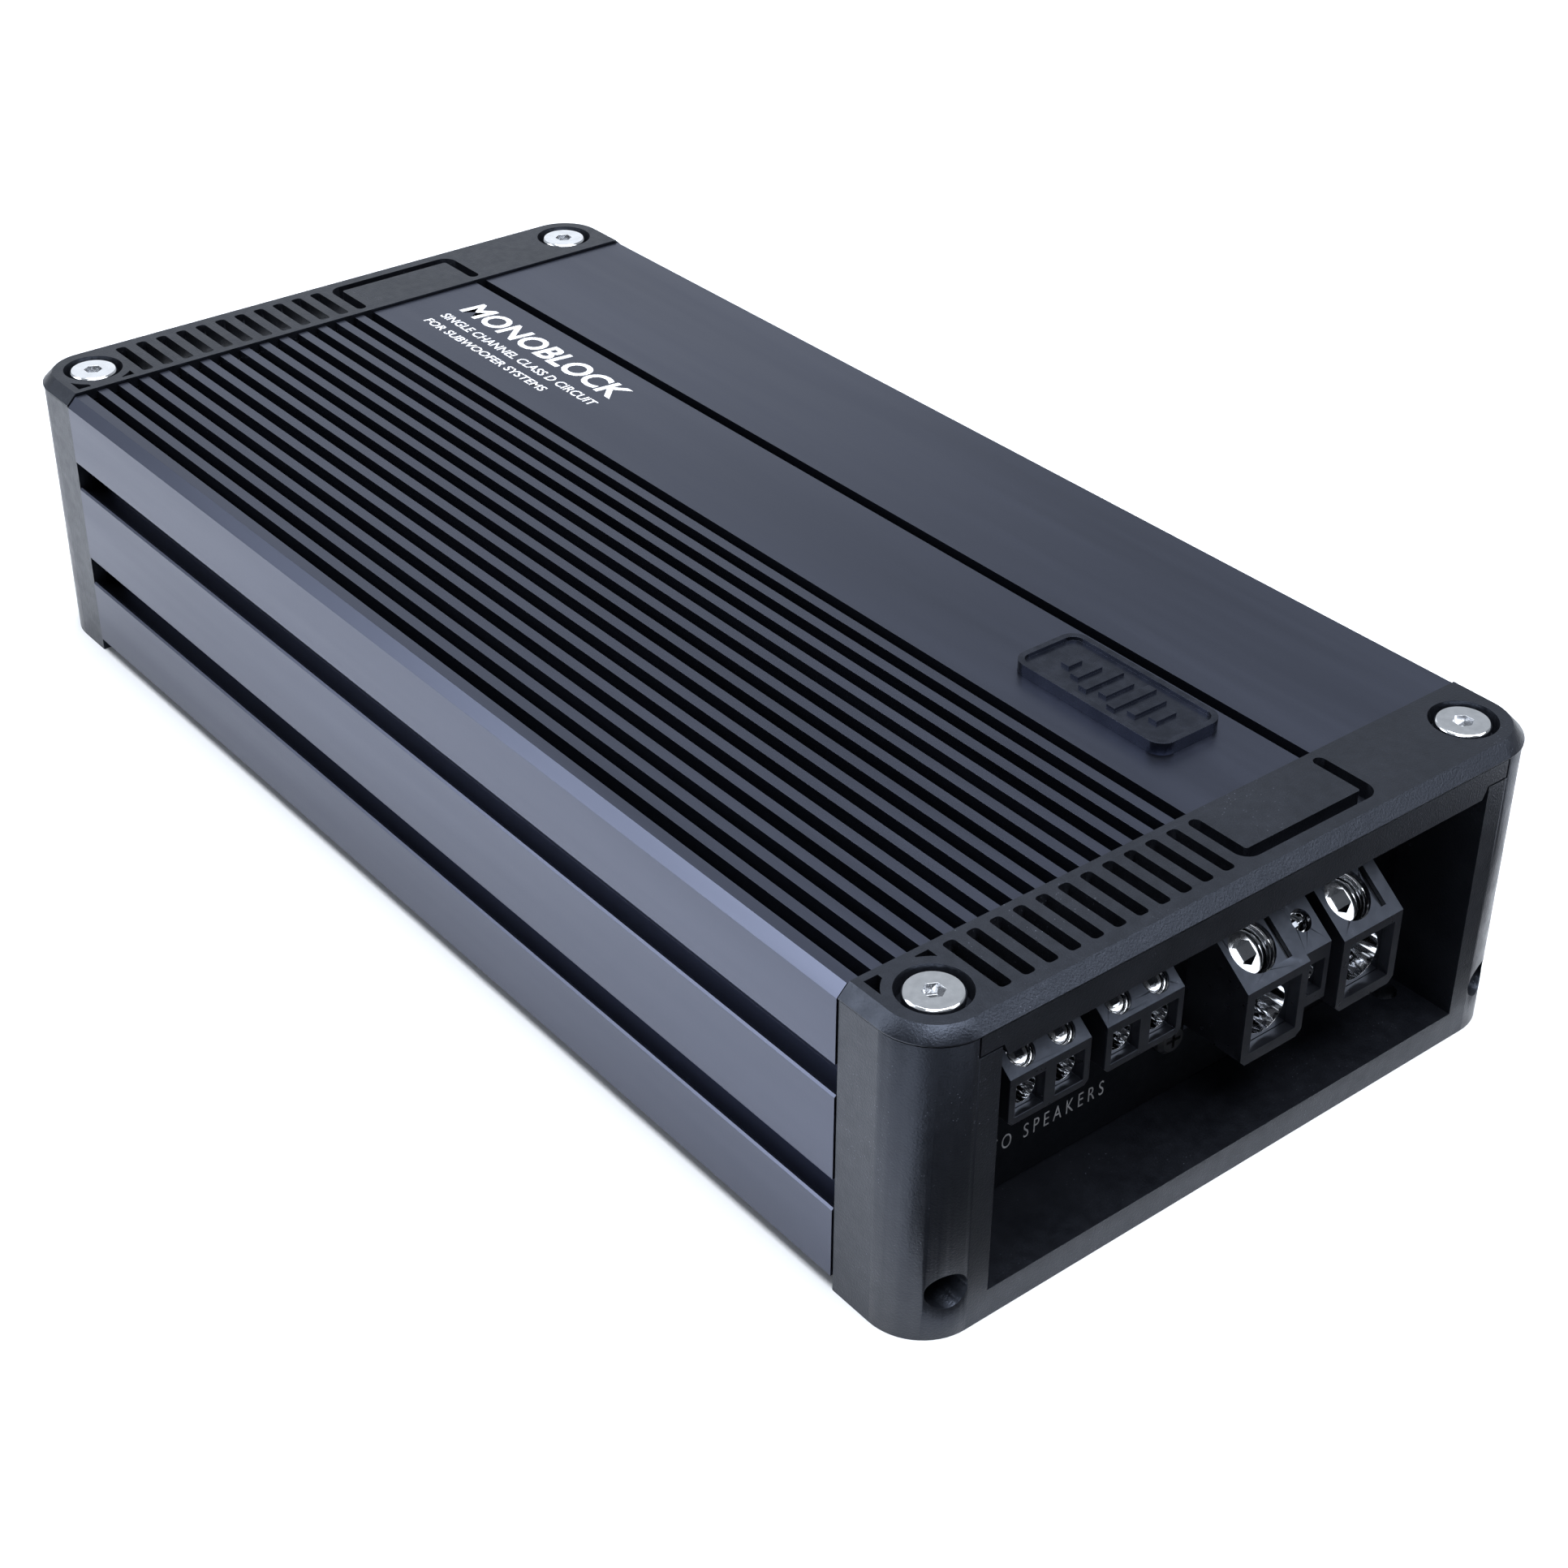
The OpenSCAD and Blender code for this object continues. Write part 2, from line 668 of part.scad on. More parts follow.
module on_power_slope(y) {
    on_slope(power_face_x, power_z1, power_screw_s, y) children();
}

module power_terminal() {
    remote_z1 = power_z1 + (power_face_x - remote_face_x) * tan(terminal_slope);
    color("#3b3c40") difference() {
        union() {
            for (y = power_lefts)
                along_y(y, y + power_w) terminal_profile(power_face_x, power_z0, power_z1);
            along_y(remote_y[0] - eps, remote_y[1])
                terminal_profile(remote_face_x, remote_z0, remote_z1);
            box([terminal_back, remote_y[1] - eps, board_top],
                [leg_front, power_lefts[1] + eps, terminal_top]);
            box([flange_x - eps, fixing_ys[0] - 3.5, board_top],
                [sink_x, fixing_ys[1] + 3.5, terminal_top]);
        }
        for (y = power_lefts) {
            nose_corner_cuts(power_face_x, y, y + power_w, power_z0, 1.1);
            along_y(y + power_block_y[0] - fit_c, y + power_block_y[1] + fit_c)
                block_profile(power_face_x, power_z1, power_block_z, power_block_x,
                              power_skin, fit_c);
            box([power_block_x - 1, y + power_open_y[0], power_block_z],
                [power_face_x + 1, y + power_open_y[1], power_block_z + 10.5]);
            on_power_slope(y + power_screw_y) translate([0, 0, -2]) cylinder(h = 4, r = 4.3);
            on_slope(power_face_x, power_z1, 2, y + 10.6)
                translate([-7, -0.6, -power_skin]) cube([7, 1.2, 4]);
        }
        along_y(remote_block_y[0] - fit_c, remote_block_y[1] + fit_c)
            block_profile(power_face_x, power_z1, remote_block_z, remote_block_x, power_skin, fit_c);
        box([remote_block_x - 1, remote_block_y[0] - fit_c, remote_block_z - fit_c],
            [power_face_x + 1, remote_block_y[1] + fit_c, remote_block_z + 6]);
        on_power_slope(remote_screw_y) translate([0, 0, -2]) cylinder(h = 4, r = 1.9);
        for (y = fixing_ys) rod_x(flange_x - 1, sink_x + 1, y, fixing_z, 1.35);
    }
}

// Clamp block with a cable bore from the front and a threaded bore square to the sloping face
module power_clamp_block(ys, z0, front, bore, screw_y, bore_r, reach) {
    difference() {
        along_y(ys[0], ys[1])
            block_profile(power_face_x, power_z1, z0, front, power_skin, 0);
        rod_x(block_back + 5, front + 1, bore[0], bore[1], bore[2]);
        on_power_slope(screw_y) translate([0, 0, -reach]) cylinder(h = reach + 1, r = bore_r);
    }
}

module power_clamp_blocks() {
    color("#c9cacc") {
        for (y = power_lefts)
            power_clamp_block([y + power_block_y[0], y + power_block_y[1]],
                              power_block_z, power_block_x,
                              [y + power_w / 2, power_bore_z, power_bore_r],
                              y + power_screw_y, power_set[0] + thread_gap, 12.5);
        power_clamp_block(remote_block_y, remote_block_z, remote_block_x,
                          [remote_bore_y, remote_bore_z, remote_bore_r],
                          remote_screw_y, remote_set[0] + play, 10.6);
    }
}

module power_clamp_screw(y, t) {
    color("#dcdddf") on_power_slope(y) set_screw(t[0], t[1], t[2], t[3], t[4], t[5]);
}

module power_clamp_pad(y, t, pad) {
    color("#b9babd") on_power_slope(y) clamp_pad(pad[0], t[1], t[2], pad[1], t[5]);
}

module ground_clamp_screw() { power_clamp_screw(power_lefts[0] + power_screw_y, power_set); }
module supply_clamp_screw() { power_clamp_screw(power_lefts[1] + power_screw_y, power_set); }
module remote_clamp_screw() { power_clamp_screw(remote_screw_y, remote_set); }
module ground_clamp_pad() { power_clamp_pad(power_lefts[0] + power_screw_y, power_set, power_pad); }
module supply_clamp_pad() { power_clamp_pad(power_lefts[1] + power_screw_y, power_set, power_pad); }
module remote_clamp_pad() { power_clamp_pad(remote_screw_y, remote_set, remote_pad); }

// ---------------------------------------------------------------- circuit boards and their parts

coil_at = [90, -28];
transformer_at = [45, -14];
capacitor_at = [[88, 12], [88, 31], [69, 31], [12, 30], [-7, 30], [12, 11], [-7, 11]];
cap_r = 8;
cap_h = 24.5;

module main_board() {
    color("#1f4d33") difference() {
        box([-board_half_l, -board_half_w, board_z], [board_half_l, board_half_w, board_top]);
        for (x = standoff_x, side = [-1, 1])
            translate([x, side * standoff_y, 0]) cylinder(h = 50, r = 1.7);
    }
}

module board_standoffs() {
    color("#b8a05a") for (x = standoff_x, side = [-1, 1])
        translate([x, side * standoff_y, plate_top]) difference() {
            cylinder(h = board_z - plate_top, r = 3, $fn = 6);
            translate([0, 0, 3]) cylinder(h = 20, r = 1.35);
        }
}

module board_screws() {
    color("#c3c4c6") for (x = standoff_x, side = [-1, 1])
        translate([x, side * standoff_y, board_top]) pan_screw(2.8, 1.8, 1.3, 6);
}

// Upright ring of rectangular section
module ring_core(r_in, r_out, z0, z1) {
    translate([0, 0, z0]) difference() {
        cylinder(h = z1 - z0, r = r_out);
        translate([0, 0, -1]) cylinder(h = z1 - z0 + 2, r = r_in);
    }
}

// Rectangular wire turns spaced round a ring core
module ring_turns(count, r_in, r_out, z0, z1, wire) {
    for (i = [0 : count - 1]) rotate(i * 360 / count)
        difference() {
            box([r_in - wire, -wire / 2, z0 - wire], [r_out + wire, wire / 2, z1 + wire]);
            box([r_in - 0.1, -wire, z0], [r_out, wire, z1]);
        }
}

module transformer_core() {
    color("#3a3d40") translate([transformer_at[0], transformer_at[1], 0])
        ring_core(9.5, 19, board_top + 2, board_top + 18);
}

module transformer_winding() {
    color("#b4672e") translate([transformer_at[0], transformer_at[1], 0])
        ring_turns(26, 9.5, 19, board_top + 2, board_top + 18, 1.8);
}

module output_coil_core() {
    color("#c8b13a") translate([coil_at[0], coil_at[1], 0])
        ring_core(6, 12, board_top + 2, board_top + 13);
}

module output_coil_winding() {
    color("#b4672e") translate([coil_at[0], coil_at[1], 0])
        ring_turns(16, 6, 12, board_top + 2, board_top + 13, 1.7);
}

// Can capacitor with a rolled groove near its base
module capacitor(at) {
    translate([at[0], at[1], board_top]) difference() {
        cylinder(h = cap_h, r = cap_r);
        translate([0, 0, 2.4]) ring_core(cap_r - 0.6, cap_r + 1, 0, 1);
        translate([0, 0, cap_h - 0.3]) for (a = [0, 90])
            rotate(a) translate([-5, -0.2, 0]) cube([10, 0.4, 1]);
    }
}

module capacitors() { color("#1e2a44") for (at = capacitor_at) capacitor(at); }

// Strips that carry the supply current from the clamp blocks to the transistors
module bus_bars() {
    color("#b9733a") for (y = [20.6, 40.2])
        box([50, y, board_top], [terminal_back, y + 1.6, board_top + 8]);
}

// A transistor row: side of the case, first x, count, and the step between devices
supply_row = [-1, 26, 6, 12.5];
output_row = [1, -62, 8, 12.5];
device = [9.6, 4.4, 15.5];
device_z = board_top + 4.4;
pad_t = 0.4;
bar_t = 3;
bar_z = [device_z + 5.5, device_z + 11.5];
function device_xs(row) = [for (i = [0 : row[2] - 1]) row[1] + i * row[3]];
function clamp_screw_xs(row) = [for (i = [0 : 2 : row[2] - 2]) row[1] + (i + 0.5) * row[3]];

// Places a screw hole or screw on a wall, +Z pointing into the wall from its inner face
module clamp_screw_at(row, x) {
    translate([x, row[0] * wall_in, (bar_z[0] + bar_z[1]) / 2])
        rotate([row[0] < 0 ? 90 : -90, 0, 0]) children();
}

// Box given by its distance in from a wall's inner face
module wall_box(row, x0, x1, d0, d1, z0, z1) {
    a = row[0] * (wall_in - d0);
    b = row[0] * (wall_in - d1);
    box([x0, min(a, b), z0], [x1, max(a, b), z1]);
}

module transistor_row(row) {
    d = pad_t + device[1];
    for (x = device_xs(row)) {
        difference() {
            wall_box(row, x - device[0] / 2, x + device[0] / 2, pad_t, d,
                     device_z, device_z + device[2]);
            wall_box(row, x - device[0], x + device[0], pad_t + 1.3, d + 1,
                     device_z + 12.5, device_z + device[2] + 1);
        }
        for (i = [-1, 0, 1])
            wall_box(row, x + i * 2.54 - 0.4, x + i * 2.54 + 0.4, pad_t + 2, pad_t + 2.6,
                     board_top, device_z);
    }
}

module power_transistors() {
    color("#202124") for (row = [supply_row, output_row]) transistor_row(row);
}

module transistor_insulators() {
    color("#c9c4b4") for (row = [supply_row, output_row]) difference() {
        xs = device_xs(row);
        wall_box(row, xs[0] - 6, xs[len(xs) - 1] + 6, 0, pad_t, device_z - 1, device_z + 16.5);
        for (x = clamp_screw_xs(row))
            clamp_screw_at(row, x) cylinder(h = 10, r = 1.7, center = true);
    }
}

module clamp_bars() {
    d = pad_t + device[1];
    color("#6d6f73") for (row = [supply_row, output_row]) difference() {
        xs = device_xs(row);
        wall_box(row, xs[0] - 5, xs[len(xs) - 1] + 5, d, d + bar_t, bar_z[0], bar_z[1]);
        for (x = clamp_screw_xs(row))
            clamp_screw_at(row, x) translate([0, 0, -20]) cylinder(h = 30, r = 1.7);
    }
}

module clamp_bar_screws() {
    d = pad_t + device[1] + bar_t;
    color("#c3c4c6") for (row = [supply_row, output_row], x = clamp_screw_xs(row))
        clamp_screw_at(row, x) translate([0, 0, -d]) rotate([180, 0, 0])
            pan_screw(2.8, 1.8, 1.15, d + 5);
}

// Upright board with its soldered chips
module driver_board() {
    color("#1f4d33") {
        box([-36, -38, board_top], [-34.4, 38, board_top + 22]);
        for (y = [-28, -6, 16]) box([-34.4, y, board_top + 7], [-32.8, y + 10, board_top + 15]);
        for (y = [-20, 8]) box([-38, y, board_top + 9], [-36, y + 12, board_top + 14]);
    }
}

// ---------------------------------------------------------------- control end

control_front = -board_half_l;
knob_ys = [for (i = [0 : 3]) knob_y0 + i * knob_pitch];
shaft_r = 1.6;
switch_w = 8.6;
socket_w = 12;
socket_h = 11.5;
led_ys = [switch_y - 3.2, switch_y + 3.2];
led_z = 38;
led_r = 1.5;

module control_board() {
    color("#1f4d33") box([control_front, -50, control_z], [-80, 50, control_top]);
}

module control_board_spacers() {
    color("#d8d6cc") for (x = [-84, -107], y = [-46, 0, 46])
        translate([x, y, board_top]) cylinder(h = control_z - board_top, r = 2.4);
}

module control_end_panel() {
    c = 0.15;
    color("#18191b") difference() {
        mirror([1, 0, 0]) end_panel_blank();
        mirror([1, 0, 0]) {
            for (y = rca_ys) rod_x(sink_x - 1, panel_x + 1, y, rca_z, 4.5);
            for (y = knob_ys) rod_x(sink_x - 1, panel_x + 1, y, knob_z, shaft_r + 0.5);
            for (y = led_ys) rod_x(sink_x - 1, panel_x + 1, y, led_z, led_r + 0.1);
            box([sink_x - 1, switch_y - 3.2, switch_z - 1.6],
                [panel_x + 1, switch_y + 3.2, switch_z + 1.6]);
            box([sink_x - 1, socket_y - socket_w / 2 - c, control_top - c],
                [panel_x + 1, socket_y + socket_w / 2 + c, control_top + socket_h + c]);
        }
    }
}

// Insulating blocks of the two input sockets, with a collar that seats against the panel
module rca_bodies() {
    color("#26272b") mirror([1, 0, 0]) for (y = rca_ys) difference() {
        box([sink_x - 15, y - 5.4, control_top], [sink_x, y + 5.4, rca_z + 6]);
        rod_x(sink_x - 12, sink_x + 1, y, rca_z, 4.15);
    }
}

// Plated sleeves of the input sockets, hollow for the plug's centre pin
module rca_sleeves() {
    color("#cfd0d2") mirror([1, 0, 0]) for (y = rca_ys) difference() {
        union() {
            rod_x(sink_x - 12, panel_x + 9.3, y, rca_z, 4.15);
            rod_x(panel_x, panel_x + 1.2, y, rca_z, 5.6);
        }
        rod_x(panel_x + 1.5, panel_x + 10, y, rca_z, 1.65);
    }
}

module pot_bodies() {
    color("#2d5fa0") mirror([1, 0, 0]) for (y = knob_ys) difference() {
        box([sink_x - 10, y - 4.6, control_top], [sink_x - 3.5, y + 4.6, knob_z + 4.6]);
        rod_x(sink_x - 9, sink_x, y, knob_z, shaft_r + play);
    }
}

// Knob and shaft in one piece, with a pointer groove across its face and grip flutes
module knob(i) {
    y = knob_ys[i];
    face = panel_x + 6.5;
    color("#1b1c1e") mirror([1, 0, 0]) difference() {
        union() {
            rod_x(sink_x - 8.8, panel_x + 1, y, knob_z, shaft_r);
            rod_x(panel_x + 0.4, face - 0.5, y, knob_z, knob_r);
            translate([face - 0.5, y, knob_z]) rotate([0, 90, 0])
                cylinder(h = 0.5, r1 = knob_r, r2 = knob_r - 0.5);
        }
        box([face - 0.6, y - 0.35, knob_z], [face + 1, y + 0.35, knob_z + knob_r + 1]);
        for (k = [0 : 11]) translate([panel_x + 1.5, y, knob_z]) rotate([k * 30 + 15, 0, 0])
            translate([0, knob_r + 0.25, 0]) rotate([0, 90, 0]) cylinder(h = 6, r = 0.5, $fn = 16);
    }
}

module gain_knob() { knob(0); }
module lowpass_knob() { knob(1); }
module subsonic_knob() { knob(2); }
module bass_knob() { knob(3); }

module phase_switch_body() {
    color("#8f9194") mirror([1, 0, 0]) difference() {
        box([sink_x - 7, switch_y - switch_w / 2, control_top],
            [sink_x - 0.5, switch_y + switch_w / 2, switch_z + 3]);
        box([sink_x - 5, switch_y - 2.6, switch_z - 1.4], [sink_x, switch_y + 2.6, switch_z + 1.4]);
    }
}

// Slider of the phase switch, at the middle of its travel
module phase_switch_slider() {
    half = 1.2;
    color("#131416") mirror([1, 0, 0])
        box([sink_x - 4.6, switch_y - half, switch_z - slider_h / 2],
            [panel_x + 1.6, switch_y + half, switch_z + slider_h / 2]);
}

// Six-position modular socket for the wired bass remote
module remote_socket() {
    color("#1d1e21") mirror([1, 0, 0]) difference() {
        box([sink_x - 13, socket_y - socket_w / 2, control_top],
            [panel_x + 0.8, socket_y + socket_w / 2, control_top + socket_h]);
        box([sink_x - 9, socket_y - 4.85, control_top + 2.4],
            [panel_x + 2, socket_y + 4.85, control_top + 9]);
        box([sink_x - 4, socket_y - 2, control_top + 1],
            [panel_x + 2, socket_y + 2, control_top + 3]);
    }
}

// Power and protection lights
module indicator_leds() {
    color("#cfe3d2") mirror([1, 0, 0]) for (y = led_ys) {
        rod_x(sink_x - 8.4, panel_x + 0.6, y, led_z, led_r);
        box([sink_x - 9, y - 1.3, control_top], [sink_x - 8.4, y + 1.3, led_z + 1]);
    }
}

// ---------------------------------------------------------------- nodes

heatsink();
bottom_plate();
bottom_plate_screws();
power_end_frame();
control_end_frame();
frame_screws();
power_end_cover();
control_end_cover();
power_cover_screws();
control_cover_screws();
power_end_panel();
control_end_panel();
panel_screws();
badge();
speaker_terminal(0);  // speaker_terminal_a
speaker_terminal(1);  // speaker_terminal_b
speaker_clamp_blocks();
speaker_clamp_screw(0);  // speaker_clamp_screw_1
speaker_clamp_pad(0);  // speaker_clamp_pad_1
speaker_clamp_screw(1);  // speaker_clamp_screw_2
speaker_clamp_pad(1);  // speaker_clamp_pad_2
speaker_clamp_screw(2);  // speaker_clamp_screw_3
speaker_clamp_pad(2);  // speaker_clamp_pad_3
speaker_clamp_screw(3);  // speaker_clamp_screw_4
speaker_clamp_pad(3);  // speaker_clamp_pad_4
power_terminal();
power_clamp_blocks();
ground_clamp_screw();
ground_clamp_pad();
remote_clamp_screw();
remote_clamp_pad();
supply_clamp_screw();
supply_clamp_pad();
main_board();
board_standoffs();
board_screws();
transformer_core();
transformer_winding();
output_coil_core();
output_coil_winding();
capacitors();
bus_bars();
power_transistors();
transistor_insulators();
clamp_bars();
clamp_bar_screws();
driver_board();
control_board();
control_board_spacers();
rca_bodies();
rca_sleeves();
pot_bodies();
gain_knob();
lowpass_knob();
subsonic_knob();
bass_knob();
phase_switch_body();
phase_switch_slider();
remote_socket();
indicator_leds();
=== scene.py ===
"""Looks for the car amplifier: a black finned case with louvred end covers and screw terminals.

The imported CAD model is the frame. This script adds the camera, the light, the materials, the
printed legends, the thread ridges inside the terminals and the dials round the knobs. The scene is
in metres; sizes that are given in mm are scaled by MM.
"""

import json
import math

import bmesh
import bpy
from mathutils import Matrix, Vector


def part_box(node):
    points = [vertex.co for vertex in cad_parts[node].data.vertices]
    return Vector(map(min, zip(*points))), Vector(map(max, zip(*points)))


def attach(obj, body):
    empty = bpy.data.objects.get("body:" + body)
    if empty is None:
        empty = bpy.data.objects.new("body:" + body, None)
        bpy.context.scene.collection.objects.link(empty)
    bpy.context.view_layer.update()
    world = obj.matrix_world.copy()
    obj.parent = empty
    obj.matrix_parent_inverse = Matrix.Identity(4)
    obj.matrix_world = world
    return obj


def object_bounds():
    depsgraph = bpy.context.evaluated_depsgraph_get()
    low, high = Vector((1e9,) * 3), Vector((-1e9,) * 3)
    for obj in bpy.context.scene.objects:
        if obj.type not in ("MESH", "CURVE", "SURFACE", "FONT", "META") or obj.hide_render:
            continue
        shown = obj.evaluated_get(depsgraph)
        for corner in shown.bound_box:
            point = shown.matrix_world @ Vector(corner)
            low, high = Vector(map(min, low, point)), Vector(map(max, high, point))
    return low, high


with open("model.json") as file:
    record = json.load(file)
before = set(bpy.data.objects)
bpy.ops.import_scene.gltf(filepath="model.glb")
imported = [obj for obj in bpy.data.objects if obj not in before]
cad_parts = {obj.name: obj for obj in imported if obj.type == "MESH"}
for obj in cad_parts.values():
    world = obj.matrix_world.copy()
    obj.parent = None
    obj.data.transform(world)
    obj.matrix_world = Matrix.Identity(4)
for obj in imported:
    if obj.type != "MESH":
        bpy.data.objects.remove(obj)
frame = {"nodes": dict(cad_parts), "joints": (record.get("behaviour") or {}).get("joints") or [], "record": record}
cad_low, cad_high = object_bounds()
nodes = frame["nodes"]
scene = bpy.context.scene
MM = 0.001


# ------------------------------------------------------------------ camera

CAMERA_AT = Vector((0.33477, -0.25122, 0.28044))
CAMERA_LOOKS = Vector((-0.64690, 0.54242, -0.53601)).normalized()
CAMERA_ROLL = 0.0195
LENS = 61.95
SHIFT = (-0.0298, -0.0378)


def add_camera():
    """The camera at the photograph's viewing angle."""
    right = CAMERA_LOOKS.cross(Vector((0, 0, 1))).normalized()
    up = right.cross(CAMERA_LOOKS)
    c, s = math.cos(CAMERA_ROLL), math.sin(CAMERA_ROLL)
    axes = (c * right + s * up, c * up - s * right, -CAMERA_LOOKS)
    data = bpy.data.cameras.new("camera")
    data.lens = LENS
    data.sensor_width = 36
    data.shift_x, data.shift_y = SHIFT
    data.clip_start = 0.01
    camera = bpy.data.objects.new("camera", data)
    camera.matrix_world = Matrix.Translation(CAMERA_AT) @ Matrix(axes).transposed().to_4x4()
    scene.collection.objects.link(camera)
    scene.camera = camera


add_camera()


# ------------------------------------------------------------------ materials

class Look:
    """A principled material built from procedural nodes in object coordinates."""

    def __init__(self, name, rough, metal=0.0, specular=0.5, tint=(1, 1, 1)):
        self.material = bpy.data.materials.new(name)
        self.material.use_nodes = True
        self.tree = self.material.node_tree
        self.shader = self.tree.nodes["Principled BSDF"]
        self.rough = rough
        self.put("Metallic", metal)
        self.put("Specular IOR Level", specular)
        self.put("Specular Tint", (*tint, 1))
        self.coordinates = self.tree.nodes.new("ShaderNodeTexCoord").outputs["Object"]
        self.height = None

    def put(self, socket, value):
        self.shader.inputs[socket].default_value = value

    def node(self, kind, **settings):
        made = self.tree.nodes.new(kind)
        for key, value in settings.items():
            setattr(made, key, value)
        return made

    def link(self, source, target):
        self.tree.links.new(source, target)

    def stretched(self, stretch):
        """The object coordinates scaled by stretch along each axis."""
        mapping = self.node("ShaderNodeMapping")
        mapping.inputs["Scale"].default_value = stretch
        self.link(self.coordinates, mapping.inputs["Vector"])
        return mapping.outputs["Vector"]

    def noise(self, size, detail=2.0, stretch=(1, 1, 1)):
        """Noise from 0 to 1 whose features are about size metres across."""
        texture = self.node("ShaderNodeTexNoise")
        texture.inputs["Scale"].default_value = 1 / size
        texture.inputs["Detail"].default_value = detail
        self.link(self.stretched(stretch), texture.inputs["Vector"])
        return texture.outputs["Fac"]

    def ranged(self, value, low, high, out_low, out_high):
        """value taken from low..high to out_low..out_high."""
        ranges = self.node("ShaderNodeMapRange")
        for name, number in zip(("From Min", "From Max", "To Min", "To Max"),
                                (low, high, out_low, out_high)):
            ranges.inputs[name].default_value = number
        self.link(value, ranges.inputs["Value"])
        return ranges.outputs["Result"]

    def mixed(self, factor, first, second):
        """first and second, colours or sockets, mixed by factor."""
        mix = self.node("ShaderNodeMix", data_type="RGBA")
        self.link(factor, mix.inputs["Factor"])
        for socket, value in ((mix.inputs["A"], first), (mix.inputs["B"], second)):
            if isinstance(value, tuple):
                socket.default_value = (*value, 1)
            else:
                self.link(value, socket)
        return mix.outputs["Result"]

    def colour(self, dark, light, size, detail=3.0, stretch=(1, 1, 1)):
        """Slow variation of the base colour between two tones."""
        factor = self.ranged(self.noise(size, detail, stretch), 0.35, 0.65, 0, 1)
        self.base = self.mixed(factor, dark, light)
        self.link(self.base, self.shader.inputs["Base Color"])
        return self

    def sheen_variation(self, amount, size, stretch=(1, 1, 1)):
        """Roughness that wanders by amount either side of the look's own."""
        rough = self.ranged(self.noise(size, 3.0, stretch), 0.3, 0.7,
                            self.rough - amount, self.rough + amount)
        self.link(rough, self.shader.inputs["Roughness"])
        return self

    def grain(self, size, depth, detail=2.0, stretch=(1, 1, 1)):
        """Bump with features size metres across and depth metres high."""
        bump = self.node("ShaderNodeBump")
        bump.inputs["Distance"].default_value = depth
        self.link(self.noise(size, detail, stretch), bump.inputs["Height"])
        if self.height:
            self.link(self.height, bump.inputs["Normal"])
        self.height = bump.outputs["Normal"]
        self.link(self.height, self.shader.inputs["Normal"])
        return self

    def flecks(self, colour, spacing, radius, patch):
        """Small pale specks, thicker in some patches than in others."""
        cells = self.node("ShaderNodeTexVoronoi")
        cells.inputs["Scale"].default_value = 1 / spacing
        self.link(self.coordinates, cells.inputs["Vector"])
        near = self.ranged(cells.outputs["Distance"], radius * 0.6, radius, 1, 0)
        here = self.ranged(self.noise(patch, 2.0), 0.5, 0.62, 0, 1)
        both = self.node("ShaderNodeMath", operation="MULTIPLY")
        self.link(near, both.inputs[0])
        self.link(here, both.inputs[1])
        self.base = self.mixed(both.outputs["Value"], self.base, colour)
        self.link(self.base, self.shader.inputs["Base Color"])
        return self


# The tone of the highlights on the black plastics and paint
COOL = (0.70, 0.79, 1.0)


def black_anodised():
    look = Look("black_anodised", rough=0.34, metal=1.0)
    look.colour((0.065, 0.072, 0.100), (0.080, 0.088, 0.121), 0.03, stretch=(0.15, 1, 1))
    look.sheen_variation(0.03, 0.004, stretch=(0.05, 1, 1))
    look.grain(0.00022, 0.000008)
    look.grain(0.0005, 0.000005, stretch=(0.02, 1, 1))
    return look


def black_textured():
    look = Look("black_textured", rough=0.36, specular=0.5, tint=COOL)
    look.colour((0.0032, 0.0035, 0.0048), (0.0060, 0.0064, 0.0084), 0.012)
    look.flecks((0.12, 0.13, 0.16), 0.00075, 0.11, 0.012)
    look.sheen_variation(0.05, 0.002)
    look.grain(0.00035, 0.00005, detail=3)
    return look


def panel_black():
    look = Look("panel_black", rough=0.5, specular=0.15, tint=COOL)
    look.colour((0.0010, 0.0010, 0.0014), (0.0020, 0.0020, 0.0026), 0.01)
    look.sheen_variation(0.05, 0.002)
    look.grain(0.0003, 0.00003)
    return look


def terminal_plastic():
    look = Look("terminal_plastic", rough=0.32, specular=0.5, tint=COOL)
    look.colour((0.004, 0.0042, 0.0056), (0.007, 0.0073, 0.0092), 0.004)
    look.sheen_variation(0.05, 0.0015)
    look.grain(0.00025, 0.00001)
    return look


def plated(name, tone, rough):
    """Bright plated metal, slightly uneven in tone and polish."""
    look = Look(name, rough=rough, metal=1.0)
    look.colour(tuple(0.9 * v for v in tone), tone, 0.002)
    look.sheen_variation(rough * 0.3, 0.001)
    return look


def plain(name, dark, light, rough, metal=0.0, size=0.004, grain=(0.0003, 0.00001)):
    """A one-tone finish with mottling and grain."""
    look = Look(name, rough=rough, metal=metal)
    look.colour(dark, light, size)
    look.sheen_variation(min(0.06, rough * 0.3), size / 2)
    look.grain(*grain)
    return look


